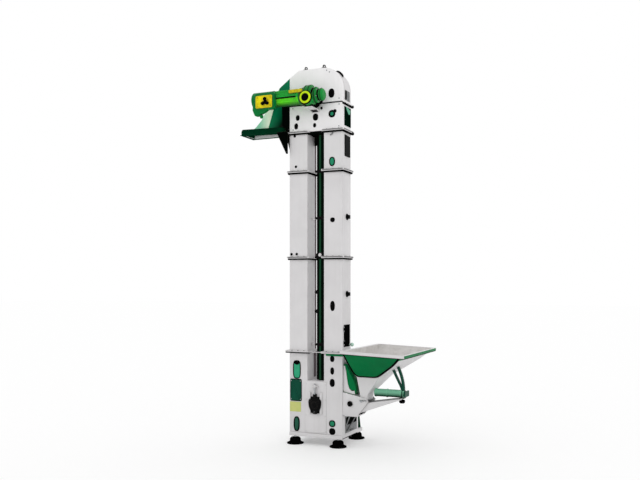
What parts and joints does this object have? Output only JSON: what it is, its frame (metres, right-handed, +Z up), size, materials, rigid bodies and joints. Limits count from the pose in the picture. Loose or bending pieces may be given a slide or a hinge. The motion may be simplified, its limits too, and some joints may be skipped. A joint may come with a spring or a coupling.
{
  "type": "bucket elevator",
  "caption": "Free-standing twin-leg belt-and-bucket elevator with a hopper and vibrating feeder on the boot, a geared head drive and a side discharge chute.",
  "frame": {"origin": "on the floor, midway between the four feet (the centre of the outer floor anchor holes)", "axes": "+X to the right along the front, from the discharge chute towards the feed hopper; +Y from the front to the back; +Z up along the legs"},
  "size_m": [1.98, 1.1703, 4.034],
  "materials": {
    "white_paint": "satin powder coat",
    "green_paint": "gloss enamel",
    "dark_green_paint": "gloss enamel",
    "drive_green": "gloss enamel",
    "lime_paint": "gloss enamel",
    "yellow_plastic": "gloss",
    "black_iron": "black enamel",
    "black_plastic": "satin",
    "black_rubber": "matt",
    "belt_rubber": "matt",
    "zinc_steel": "zinc plated",
    "green_lens": "gloss tinted lens",
    "pale_green_knob": "gloss"
  },
  "bodies": {
    "tower": {"base_frame": "white_paint", "foot_front_left": "black_plastic", "foot_front_right": "black_plastic", "foot_rear_left": "black_plastic", "foot_rear_right": "black_plastic", "foot_studs": "zinc_steel", "boot_casing": "white_paint", "boot_front_cover": "white_paint", "boot_back_cover": "white_paint", "boot_windows": "green_lens", "rear_braces": "white_paint", "takeup_guides": "black_iron", "inlet_cowl": "green_paint", "door_hinges": "zinc_steel", "left_leg_lower": "white_paint", "left_leg_middle": "white_paint", "left_leg_upper": "white_paint", "right_leg_lower": "white_paint", "right_leg_middle": "white_paint", "right_leg_upper": "white_paint", "centre_mast": "dark_green_paint", "mast_collars": "black_iron", "boot_flange_bolts": "zinc_steel", "leg_flange_bolts": "zinc_steel", "leg_fittings": "black_plastic", "head_casing": "white_paint", "head_side_panel": "dark_green_paint", "hood": "white_paint", "hood_fittings": "black_plastic", "lifting_eyes": "black_plastic", "head_bearings": "black_iron", "belt": "belt_rubber", "buckets_rising": "zinc_steel", "buckets_falling": "zinc_steel", "discharge_chute": "green_paint", "chute_gussets": "dark_green_paint", "gear_case": "drive_green", "torque_arm": "dark_green_paint", "motor_body": "lime_paint", "switch_box": "drive_green", "switch_lid": "yellow_plastic", "hopper_pan": "white_paint", "hopper_apron": "green_paint", "feed_box": "white_paint", "feeder_buffers": "black_rubber", "hopper_hanger": "green_paint"},
    "takeup": {"takeup_bearings": "black_iron", "takeup_screws": "zinc_steel"},
    "tail_rotor": {"tail_shaft": "zinc_steel", "tail_pulley": "zinc_steel"},
    "head_rotor": {"head_shaft": "zinc_steel", "head_pulley": "zinc_steel"},
    "fan": {"motor_fan": "black_plastic"},
    "cleanout_door": {"cleanout_door": "zinc_steel"},
    "inspection_door": {"inspection_door": "black_plastic", "inspection_knob": "pale_green_knob"},
    "switch_knob": {"switch_knob": "black_plastic"},
    "slide_gate": {"slide_gate": "zinc_steel"},
    "feeder": {"feeder_trough": "white_paint", "feeder_drive": "drive_green"}
  },
  "joints": [
    {"name": "head_spin", "type": "hinge", "parent": "tower", "child": "head_rotor", "pos_m": [0, -0.167, 3.64], "axis": [0, 1, 0], "continuous": true},
    {"name": "take_up", "type": "slide", "parent": "tower", "child": "takeup", "axis": [0, 0, 1], "range_m": [0, 0.04]},
    {"name": "tail_spin", "type": "hinge", "parent": "takeup", "child": "tail_rotor", "pos_m": [0, -0.167, 0.43], "axis": [0, 1, 0], "continuous": true},
    {"name": "fan_spin", "type": "hinge", "parent": "tower", "child": "fan", "pos_m": [-0.5, -0.43, 3.678], "axis": [1, 0, 0], "continuous": true},
    {"name": "cleanout_swing", "type": "hinge", "parent": "tower", "child": "cleanout_door", "pos_m": [0.3153, 0, 0.313], "axis": [0, -1, 0], "range_deg": [0, 85]},
    {"name": "inspection_swing", "type": "hinge", "parent": "tower", "child": "inspection_door", "pos_m": [0.3143, -0.249, 1.167], "axis": [0, 0, -1], "range_deg": [0, 110]},
    {"name": "isolator_turn", "type": "hinge", "parent": "tower", "child": "switch_knob", "pos_m": [-0.45, -0.568, 3.628], "axis": [0, 1, 0], "range_deg": [0, 90]},
    {"name": "gate_slide", "type": "slide", "parent": "tower", "child": "slide_gate", "axis": [0, -1, 0], "range_m": [0, 0.17]},
    {"name": "feeder_shake", "type": "slide", "parent": "tower", "child": "feeder", "axis": [0.9397, 0, 0.342], "range_m": [-0.00075, 0.00075], "stiffness_N_per_m": 200000}
  ],
  "couplings": [
    {"joint": "tail_spin", "follows": "head_spin", "ratio": 1},
    {"joint": "fan_spin", "follows": "head_spin", "ratio": 14}
  ]
}
